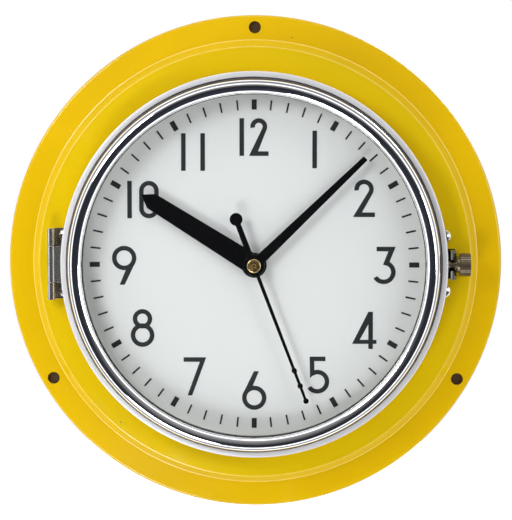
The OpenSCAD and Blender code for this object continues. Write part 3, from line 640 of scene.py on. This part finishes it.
def dress_nodes(material, *nodes):
    """Puts a finish on CAD nodes that keep their own shape."""
    for node in nodes:
        dress(frame["nodes"][node], material)


# ------------------------------------------------------------------------------------------------
# Bench tools


def at(x, y, z):
    """A point on the dial, in the model's frame."""
    return Vector((x * MM, -z * MM, y * MM))


def polar(r, degrees):
    """The place at that radius and direction, counted from the right."""
    return r * cos(radians(degrees)), r * sin(radians(degrees))


def body_of(node):
    """The name of the CAD body that a node belongs to."""
    bodies = frame["record"]["behaviour"]["bodies"]
    return next(name for name, nodes in bodies.items() if node in nodes)


def pick_none():
    """Leaves nothing selected, so that an operator acts on the new piece alone."""
    bpy.ops.object.select_all(action="DESELECT")


def pick(thing):
    """Selects one object and makes it the active one."""
    pick_none()
    thing.select_set(True)
    bpy.context.view_layer.objects.active = thing


def edit(thing):
    """Opens a piece in edit mode with everything selected."""
    pick(thing)
    bpy.ops.object.mode_set(mode="EDIT")
    bpy.ops.mesh.select_mode(type="VERT")
    bpy.ops.mesh.select_all(action="SELECT")


def close():
    """Back to object mode."""
    bpy.ops.object.mode_set(mode="OBJECT")


def started(name):
    """Names the primitive that was just added and settles its place into its mesh."""
    piece = bpy.context.active_object
    piece.name = name
    piece.data.name = name
    pick(piece)
    bpy.ops.object.transform_apply(location=True, rotation=True, scale=True)
    return piece


def tidy_faces(thing):
    """Merges doubles and turns the faces outwards."""
    edit(thing)
    bpy.ops.mesh.remove_doubles(threshold=0.000002)
    bpy.ops.mesh.normals_make_consistent(inside=False)
    close()


def smooth(thing, degrees=32):
    """Smooth shading, with edges sharper than that left crisp."""
    pick(thing)
    bpy.ops.object.shade_smooth_by_angle(angle=radians(degrees))


def apply_modifiers(thing):
    """Applies every modifier in order."""
    pick(thing)
    for modifier in list(thing.modifiers):
        bpy.ops.object.modifier_apply(modifier=modifier.name)


def break_edges(thing, width, segments=2, degrees=35):
    """Rounds the sharp edges of a piece by that width in millimetres."""
    bevel = thing.modifiers.new("edge", "BEVEL")
    bevel.width = width * MM
    bevel.segments = segments
    bevel.limit_method = "ANGLE"
    bevel.angle_limit = radians(degrees)
    apply_modifiers(thing)


def flatten(thing):
    """Weights the normals so that wide flat faces reflect as flats beside their rounded edges."""
    weighted = thing.modifiers.new("flat", "WEIGHTED_NORMAL")
    weighted.keep_sharp = True
    apply_modifiers(thing)


def pick_faces(thing, wanted):
    """Opens a piece in edit mode with only the wanted faces selected."""
    edit(thing)
    bpy.ops.mesh.select_mode(type="FACE")
    bpy.ops.mesh.select_all(action="DESELECT")
    close()
    for face in thing.data.polygons:
        face.select = wanted(face)
    bpy.ops.object.mode_set(mode="EDIT")


def turn_of(face, middle):
    """The direction of a face's centre round the left-right axis through the middle, in radians."""
    out = face.center - middle
    return atan2(out.z, out.y) % (2 * pi)


def add_to(thing, other):
    """Joins another closed piece onto one as a single solid."""
    weld = thing.modifiers.new("weld", "BOOLEAN")
    weld.operation = "UNION"
    weld.object = other
    weld.solver = "EXACT"
    apply_modifiers(thing)
    bpy.data.objects.remove(other, do_unlink=True)


def cut(thing, tools):
    """Takes the tools' shapes out of a piece, and removes the tools."""
    for tool in tools:
        knife = thing.modifiers.new("cut", "BOOLEAN")
        knife.operation = "DIFFERENCE"
        knife.object = tool
        knife.solver = "EXACT"
    apply_modifiers(thing)
    for tool in tools:
        bpy.data.objects.remove(tool, do_unlink=True)


def keep(piece, material, body, *nodes, slot):
    """Dresses a finished piece, lets it ride on its body and stand for its CAD nodes."""
    dress(piece, material)
    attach(piece, body)
    if nodes:
        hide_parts(*nodes)
    return piece


def turned(name, profile, centre=(0, 0), segments=None, closed=True):
    """A piece turned on the lathe: rings of (radius, height) are drawn out of a circle one by one."""
    segments = segments or bpy.context.scene.clock_sizes.segments
    (first_r, first_z), *rest = profile
    pick_none()
    bpy.ops.mesh.primitive_circle_add(
        vertices=segments,
        radius=first_r * MM,
        location=at(*centre, first_z),
        rotation=(pi / 2, 0, 0),
    )
    piece = started(name)
    edit(piece)
    last_r, last_z = first_r, first_z
    for r, z in rest:
        bpy.ops.mesh.extrude_region_move(
            TRANSFORM_OT_translate={"value": (0, (last_z - z) * MM, 0)}
        )
        bpy.ops.transform.resize(
            value=(r / last_r, 1, r / last_r), center_override=at(*centre, z)
        )
        last_r, last_z = r, z
    if closed:
        bpy.ops.mesh.select_all(action="SELECT")
        bpy.ops.mesh.region_to_loop()
        bpy.ops.mesh.bridge_edge_loops()
    else:
        bpy.ops.mesh.select_all(action="DESELECT")
        bpy.ops.mesh.select_non_manifold()
        bpy.ops.mesh.edge_face_add()
    close()
    tidy_faces(piece)
    return piece


def arc(centre, wide, tall, start, end, steps):
    """Points of (radius, height) along a quarter of an oval."""
    turns = [radians(start + (end - start) * i / steps) for i in range(steps + 1)]
    return [(centre[0] + wide * cos(t), centre[1] + tall * sin(t)) for t in turns]


def rod(name, r, start, end, vertices=48, centre=None):
    """A plain round bar between two points of the dial's millimetres, as a tool or a start."""
    a, b = at(*start), at(*end)
    pick_none()
    bpy.ops.mesh.primitive_cylinder_add(
        vertices=vertices,
        radius=r * MM,
        depth=(b - a).length,
        location=(a + b) / 2,
        rotation=(b - a).to_track_quat("Z", "Y").to_euler(),
    )
    return started(name)


def drill(r, place, low, high, vertices=20):
    """A bar that runs front to back at that place, to drill a hole with."""
    return rod("drill", r, (*place, low), (*place, high), vertices)


def block(name, low, high):
    """A box between two corners of the dial's millimetres, as a tool or a start."""
    a, b = at(*low), at(*high)
    pick_none()
    bpy.ops.mesh.primitive_cube_add(size=1, location=(a + b) / 2, scale=[abs(p) for p in b - a])
    return started(name)


def refined(node, width, segments=2, degrees=35):
    """A merged copy of a CAD node with its edges rounded, which will stand for the node."""
    source = frame["nodes"][node]
    piece = bpy.data.objects.new(node + "_finished", source.data.copy())
    bpy.context.scene.collection.objects.link(piece)
    piece.data.materials.clear()
    edit(piece)
    bpy.ops.mesh.remove_doubles(threshold=0.000002)
    bpy.ops.mesh.dissolve_limited(angle_limit=radians(0.6))
    close()
    break_edges(piece, width, segments, degrees)
    smooth(piece, 38)
    flatten(piece)
    return piece


# ------------------------------------------------------------------------------------------------
# Pieces


class CLOCK_OT_case(bpy.types.Operator):
    """Turns the flanged case, the can behind it and its cover, and paints them"""

    bl_idname = "clock.case"
    bl_label = "Case"

    def execute(self, context):
        collar = 105.5
        ring_back = 6.0
        flange = 3.0
        profile = (
            [(collar, ring_back), (122.8, ring_back), (126.1, WALL_Z)]
            + [(FLANGE_R - 0.5, WALL_Z)]
            + arc((FLANGE_R - 1.5, 1.5), 1.5, 1.5, -42, 90, 8)
            + [(129.0, flange), (128.5, flange + 0.08), (128.1, flange + 0.4)]
            + [(124.9, RING_Z - 0.62), (124.5, RING_Z - 0.14), (123.8, RING_Z)]
            + [(collar, RING_Z)]
        )
        case = turned("case_flange", profile)
        wall_holes = [drill(HOLE_R, polar(HOLE_CIRCLE_R, a), -2, 5, 40) for a in HOLE_ANGLES]
        screw_holes = [
            drill(SCREW_HOLE_R, (x, y), 4, 10, 24)
            for x, y in ((109, 15.8), (109, -15.8), (-109.6, 16.1), (-109.6, -16.1))
        ]
        slots = [block("mill", (111.7, s * 2.85, 4), (115.9, s * 8.5, 10)) for s in (-1, 1)]
        cut(case, wall_holes + screw_holes + slots)
        break_edges(case, 0.18, 1, 60)
        smooth(case, 30)
        keep(case, case_enamel(), "case", "front_case", slot="case_enamel")

        wall = 1.5
        lip = 4.0
        back = CAN_BACK_Z
        can = turned(
            "case_can",
            [(CAN_R - wall, ring_back), (collar - 0.2, ring_back), (collar, ring_back - 0.2)]
            + [(collar, lip + 0.2), (collar - 0.2, lip), (CAN_R, lip), (CAN_R, back + 0.9)]
            + arc((CAN_R - 0.9, back + 0.9), 0.9, 0.9, -15, -90, 4)
            + [(CAN_R - 11, back), (CAN_R - 11, back + wall), (CAN_R - wall, back + wall)],
        )
        lip_holes = [polar(collar - 2.55, 30 + 60 * i) for i in range(6)]
        cover_holes = [polar(CAN_R - 7, 45 + 90 * i) for i in range(4)]
        cut(
            can,
            [drill(SCREW_HOLE_R, place, 2, 8) for place in lip_holes]
            + [drill(SCREW_HOLE_R, place, back - 2, back + 3) for place in cover_holes],
        )
        smooth(can, 30)
        keep(can, case_enamel(), "case", "rear_can", slot="case_enamel")

        face = COVER_BACK_Z
        gland = 6.0
        cover = turned(
            "case_cover",
            [(70, back), (COVER_R - 0.15, back), (COVER_R, back - 0.2), (COVER_R, face + 0.5)]
            + [(COVER_R - 0.2, face + 0.12), (COVER_R - 0.6, face), (84, face), (83.4, face + 0.35)]
            + [(82.2, face + 0.35), (81.6, face), (70, face)],
            closed=False,
        )
        cut(
            cover,
            [drill(SCREW_HOLE_R, place, face - 2, back + 1) for place in cover_holes]
            + [drill(gland, (0, -62), face - 2, back + 1, 40)],
        )
        smooth(cover, 30)
        keep(cover, case_enamel(), "case", "rear_cover", slot="case_enamel")
        dress_nodes(case_enamel(), "case_collar")
        dress_nodes(seal_rubber(), "case_gasket")
        return {"FINISHED"}


class CLOCK_OT_bezel(bpy.types.Operator):
    """Turns the polished bezel with its bead, and sets the glass in it"""

    bl_idname = "clock.bezel"
    bl_label = "Bezel and glass"

    def execute(self, context):
        sight, crest, bead = millimetres("sight_r"), millimetres("crest_r"), millimetres("bead_r")
        rim, seat = millimetres("rim_z"), millimetres("seat_z")
        rise = CREST_Z - rim
        lip = 2.8
        pocket = 101.2
        skirt = BEZEL_R - 2.5
        profile = (
            [(skirt, SKIRT_Z), (BEZEL_R - 0.25, SKIRT_Z), (BEZEL_R, SKIRT_Z + 0.25)]
            + [(BEZEL_R, rim - 0.75), (BEZEL_R - 0.12, rim - 0.35), (BEZEL_R - 0.35, rim - 0.1)]
            + [(BEZEL_R - 0.7, rim), (bead + 0.62, rim), (bead + 0.5, rim - 0.12)]
            + [(bead + 0.42, rim - 0.5), (bead + 0.12, rim - 0.5), (bead, rim - 0.1)]
            + arc((crest, rim), bead - crest, rise, 4, 90, 22)
            + arc((crest, CREST_Z - lip), crest - sight, lip, 96, 172, 14)
            + [(sight, GLASS_FRONT_Z + 0.15), (sight + 0.15, GLASS_FRONT_Z)]
            + [(pocket, GLASS_FRONT_Z), (pocket, seat), (skirt, seat)]
        )
        bezel = turned("bezel_turned", profile)
        cut(bezel, [block("mill", (106.2, -3.35, 17), (120, 3.35, 21.5))])
        smooth(bezel, 40)
        keep(bezel, bezel_chrome(), "bezel", "bezel_ring", slot="bezel_chrome")
        lug = refined("bezel_lug", 0.2)
        keep(lug, plated_steel(), "bezel", "bezel_lug", slot="bezel_chrome")
        dress_nodes(clear_glass(), "glass_lens")
        dress_nodes(seal_rubber(), "glass_gasket")
        dress_nodes(plated_steel(), "glass_retaining_ring")
        return {"FINISHED"}


class CLOCK_OT_dial(bpy.types.Operator):
    """Paints the dial and its printing, and the ring that holds it"""

    bl_idname = "clock.dial"
    bl_label = "Dial"

    def execute(self, context):
        dress_nodes(dial_white(), "dial_plate")
        dress_nodes(dial_black(), "minute_track", "hour_numerals")
        dress_nodes(plated_steel(), "dial_snap_ring")
        dress_nodes(clean_brass(), "bush_nut")
        dress_nodes(seal_rubber(), "dial_washer")
        return {"FINISHED"}


class CLOCK_OT_hands(bpy.types.Operator):
    """Bevels the three hands and turns the brass boss over them"""

    bl_idname = "clock.hands"
    bl_label = "Hands"

    def execute(self, context):
        for node in ("hour_hand", "minute_hand", "second_hand"):
            width = millimetres("hand_bevel") * (0.5 if node == "second_hand" else 1.0)
            hand = refined(node, width, 2, 50)
            keep(hand, hand_black(), body_of(node), node, slot="hand_black")
        _, low, high = reach("second_hand_boss")
        r = millimetres("boss_r")
        boss = turned(
            "centre_boss",
            [(0.95, low), (r - 0.2, low), (r, low + 0.2), (r, high - 0.55)]
            + arc((r - 0.5, high - 0.5), 0.5, 0.4, 10, 80, 4)
            + [(2.7, high - 0.02), (2.6, high - 0.14), (2.4, high - 0.14), (2.3, high - 0.01)]
            + [(1.3, high), (1.15, high - 0.25), (0.6, high - 0.3), (0.05, high - 0.3)],
            segments=64,
            closed=False,
        )
        smooth(boss, 40)
        keep(boss, clean_brass(), body_of("second_hand_boss"), "second_hand_boss", slot="clean_brass")
        return {"FINISHED"}


class CLOCK_OT_hinge(bpy.types.Operator):
    """Finishes the hinge's leaves, barrel and pin"""

    bl_idname = "clock.hinge"
    bl_label = "Hinge"

    def execute(self, context):
        edge = millimetres("edge_break")
        for node in ("hinge_case_leaf", "hinge_bezel_leaf"):
            leaf = refined(node, edge * 0.5)
            keep(leaf, plated_steel(), body_of(node), node, slot="plated_steel")
        low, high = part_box("hinge_pin")
        centre = (low + high) / 2 / MM
        r = (high[0] - low[0]) / 2 / MM
        ends = low[2] / MM, high[2] / MM
        x, z = centre[0], -centre[1]
        pin = rod("hinge_pin_domed", r, (x, ends[0], z), (x, ends[1], z), 40)
        pick_faces(pin, lambda face: abs(face.normal.z) > 0.9)
        bpy.ops.mesh.bevel(offset=0.35 * MM, segments=3, affect="EDGES")
        close()
        smooth(pin, 40)
        keep(pin, plated_steel(), "case", "hinge_pin", slot="plated_steel")
        return {"FINISHED"}


class CLOCK_OT_latch(bpy.types.Operator):
    """Finishes the fork, the swing bolt, its washer and the knurled nut"""

    bl_idname = "clock.latch"
    bl_label = "Latch"

    def execute(self, context):
        edge = millimetres("edge_break")
        fork = refined("latch_bracket", edge, 3)
        keep(fork, dark_nickel(), "case", "latch_bracket", slot="dark_nickel")
        bolt = refined("eye_bolt", 0.15)
        keep(bolt, worn_brass(), body_of("eye_bolt"), "eye_bolt", slot="worn_brass")
        washer = refined("nut_washer", 0.12)
        keep(washer, worn_brass(), body_of("nut_washer"), "nut_washer", slot="worn_brass")
        self.make_nut()
        dress_nodes(plated_steel(), "latch_pivot_pin")
        return {"FINISHED"}

    def make_nut(self):
        """A cylinder with a turned-down rim at each end and every other side drawn in as a groove."""
        low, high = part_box("thumb_nut")
        axis_z = -(low[1] + high[1]) / 2 / MM
        start, end = low[0] / MM + 1.0, high[0] / MM
        r = millimetres("nut_r")
        nut = rod("knurled_nut", r, (start, 0, axis_z), (end, 0, axis_z), 72)
        pick_faces(nut, lambda face: abs(face.normal.x) > 0.9)
        bpy.ops.mesh.inset(thickness=0.5 * MM)
        bpy.ops.mesh.bevel(offset=0.12 * MM, segments=2, affect="EDGES")
        close()
        step = 2 * pi / 36
        middle = Vector((0, -axis_z * MM, 0))
        pick_faces(
            nut,
            lambda face: abs(face.normal.x) < 0.1 and turn_of(face, middle) % step < step / 2,
        )
        bpy.ops.mesh.inset(thickness=0.10 * MM, depth=-0.42 * MM)
        close()
        nose = rod("nose", 4.7, (start - 1.0, 0, axis_z), (start, 0, axis_z), 64)
        pick_faces(nose, lambda face: abs(face.normal.x) > 0.9)
        bpy.ops.mesh.bevel(offset=0.2 * MM, segments=2, affect="EDGES")
        close()
        add_to(nut, nose)
        cut(nut, [rod("drill", 2.05, (start - 2, 0, axis_z), (end + 1, 0, axis_z), 48)])
        smooth(nut, 30)
        keep(nut, worn_brass(), body_of("thumb_nut"), "thumb_nut", slot="worn_brass")


class CLOCK_OT_fasteners(bpy.types.Operator):
    """Rounds and plates the screws, and finishes the cable gland"""

    bl_idname = "clock.fasteners"
    bl_label = "Screws and gland"

    def execute(self, context):
        for node in ("hinge_screws", "latch_screws", "can_screws", "cover_screws"):
            screws = refined(node, 0.12)
            keep(screws, plated_steel(), "case", node, slot="plated_steel")
        for node, width in (("cable_gland", 0.4), ("gland_nut", 0.4), ("gland_plug", 0.3)):
            part = refined(node, width)
            soft = node == "gland_plug"
            material = seal_rubber() if soft else black_plastic()
            keep(part, material, "case", node, slot="seal_rubber" if soft else "black_plastic")
        return {"FINISHED"}


class CLOCK_OT_movement(bpy.types.Operator):
    """Finishes the movement behind the dial, wheel by wheel"""

    bl_idname = "clock.movement"
    bl_label = "Movement"

    def execute(self, context):
        for node in ("movement_front_shell", "movement_rear_shell"):
            shell = refined(node, 0.35)
            keep(shell, black_plastic(), "case", node, slot="black_plastic")
        dress_nodes(
            clean_brass(), "hour_wheel", "minute_arbor", "centre_wheel", "second_wheel", "third_wheel"
        )
        dress_nodes(white_plastic(), "step_wheel", "minute_wheel")
        dress_nodes(red_plastic(), "setting_knob")
        dress_nodes(magnet_steel(), "rotor", "stator", "quartz_can")
        dress_nodes(coil_copper(), "coil")
        dress_nodes(board_green(), "circuit_board")
        cell = refined("battery", 0.6, 3)
        keep(cell, battery_jacket(), "case", "battery", slot="battery_jacket")
        dress_nodes(plated_steel(), "battery_contacts")
        return {"FINISHED"}


# ------------------------------------------------------------------------------------------------
# Studio


class CLOCK_OT_stage(bpy.types.Operator):
    """Sets up the camera, the lamps, the surroundings and the pale floor"""

    bl_idname = "clock.stage"
    bl_label = "Studio"

    def execute(self, context):
        self.make_camera(context)
        self.make_lamps(context)
        self.make_surroundings(context)
        self.make_floor()
        context.scene.view_settings.view_transform = "Standard"
        return {"FINISHED"}

    def make_camera(self, context):
        """A long lens a little above the clock's middle."""
        camera = bpy.data.objects.new("camera", bpy.data.cameras.new("camera"))
        context.scene.collection.objects.link(camera)
        camera.location = (0.028, -1.2, 0.101)
        aim = Vector((0.0006, 0, 0.0012)) - camera.location
        camera.rotation_euler = aim.to_track_quat("-Z", "Y").to_euler()
        camera.data.lens = 143.6
        camera.data.sensor_width = 36
        camera.data.clip_start = 0.05
        context.scene.camera = camera

    def make_lamps(self, context):
        """Soft lamps from the upper left, the lower left and the right, and one behind."""
        for name, place, size, watts in (
            ("key", (-0.46, -0.60, 0.34), 0.30, 2.3),
            ("fill", (-0.26, -0.62, -0.52), 0.30, 2.1),
            ("side", (0.62, -0.66, 0.06), 0.30, 1.0),
            ("back", (0.70, 1.10, 0.70), 0.80, 16.0),
        ):
            lamp = bpy.data.objects.new(name, bpy.data.lights.new(name, "AREA"))
            context.scene.collection.objects.link(lamp)
            lamp.data.shape = "DISK"
            lamp.data.size = size
            lamp.data.energy = watts
            lamp.location = place
            lamp.rotation_euler = (-Vector(place)).to_track_quat("-Z", "Y").to_euler()

    def make_surroundings(self, context):
        """White to the eye; in reflections a room with bright and dark zones behind the viewer."""
        world = bpy.data.worlds.new("studio")
        context.scene.world = world
        tree = Tree(world)
        way = tree.add("ShaderNodeTexCoord", out=0)
        parts = [tree.add("ShaderNodeSeparateXYZ", way, out=i) for i in range(3)]
        drift = tree.add("ShaderNodeTexNoise", sockets={"Vector": way, "Scale": 2.6, "Detail": 2.0})
        away = parts[1] * 0.5 + drift * 0.07 + 0.465
        room = tree.ramp(
            away,
            [
                (0.0, (0.03, 0.032, 0.04)),
                (0.120, (0.035, 0.04, 0.06)),
                (0.165, (0.05, 0.055, 0.08)),
                (0.195, 1.6),
                (0.400, 1.6),
                (0.450, (0.26, 0.27, 0.31)),
                (0.680, (0.34, 0.33, 0.36)),
                (0.725, 1.4),
                (0.880, 1.4),
                (0.920, 0.06),
                (0.985, 0.04),
            ],
        )
        cloud = tree.add(
            "ShaderNodeTexNoise", sockets={"Vector": way, "Scale": 1.7, "Detail": 1.0}
        )
        ceiling = (parts[2] > 0) * parts[2] * (away < 0.19) * 0.6
        room = tree.mix(ceiling, room, (0.92, 0.88, 0.86))
        glow = tree.add("ShaderNodeBackground", room, cloud * 0.9 + 0.55)
        paper = tree.add("ShaderNodeBackground", (1, 1, 1, 1), 1.0)
        seen = tree.add("ShaderNodeLightPath")
        tree.output(
            tree.add("ShaderNodeMixShader", seen, glow, paper), "ShaderNodeOutputWorld"
        )

    def make_floor(self):
        """A pale sheet of paper well below the clock, and dark discs in the wall holes."""
        pick_none()
        bpy.ops.mesh.primitive_plane_add(size=6, location=(0, 0, -0.62))
        floor = started("floor")
        material = bpy.data.materials.new("paper")
        tree = Tree(material)
        tree.output(
            tree.shader(
                Base_Color=(0.95, 0.95, 0.95),
                Roughness=tree.noise(40, 2) * 0.1 + 0.8,
                Emission_Color=(1, 1, 1, 1),
                Emission_Strength=0.7,
            )
        )
        dress(floor, material)
        floor.visible_glossy = False
        floor.visible_diffuse = False
        # Painted shadow: dark discs just behind the flange, seen through the wall holes.
        for angle in HOLE_ANGLES:
            place = polar(HOLE_CIRCLE_R, angle)
            shadow = rod("shadow", HOLE_R, (*place, 0.3), (*place, 0.6), 40)
            dress(shadow, hole_shadow())


class CLOCK_PT_workshop(bpy.types.Panel):
    """Lists the pieces in the order they are made, with their sizes and colours"""

    bl_label = "Deck Clock"
    bl_space_type = "VIEW_3D"
    bl_region_type = "UI"
    bl_category = "Clock"

    def draw(self, context):
        layout = self.layout
        for operator in OPERATORS:
            layout.operator(operator.bl_idname)
        for settings in (context.scene.clock_sizes, context.scene.clock_colours):
            box = layout.box()
            for name in settings.bl_rna.properties.keys():
                if name not in ("rna_type", "name"):
                    box.prop(settings, name)


OPERATORS = (
    CLOCK_OT_stage,
    CLOCK_OT_case,
    CLOCK_OT_dial,
    CLOCK_OT_bezel,
    CLOCK_OT_hinge,
    CLOCK_OT_latch,
    CLOCK_OT_hands,
    CLOCK_OT_fasteners,
    CLOCK_OT_movement,
)
CLASSES = (ClockSizes, ClockColours, *OPERATORS, CLOCK_PT_workshop)


def register():
    """Adds the classes and the scene's settings."""
    for cls in CLASSES:
        bpy.utils.register_class(cls)
    bpy.types.Scene.clock_sizes = PointerProperty(type=ClockSizes)
    bpy.types.Scene.clock_colours = PointerProperty(type=ClockColours)


def unregister():
    """Takes them away again."""
    del bpy.types.Scene.clock_colours
    del bpy.types.Scene.clock_sizes
    for cls in reversed(CLASSES):
        bpy.utils.unregister_class(cls)


def main():
    """Makes every piece in order and notes the model's size."""
    register()
    bpy.ops.clock.stage()
    bpy.ops.clock.case()
    bpy.ops.clock.dial()
    bpy.ops.clock.bezel()
    bpy.ops.clock.hinge()
    bpy.ops.clock.latch()
    bpy.ops.clock.hands()
    bpy.ops.clock.fasteners()
    bpy.ops.clock.movement()


if __name__ == "__main__":
    main()
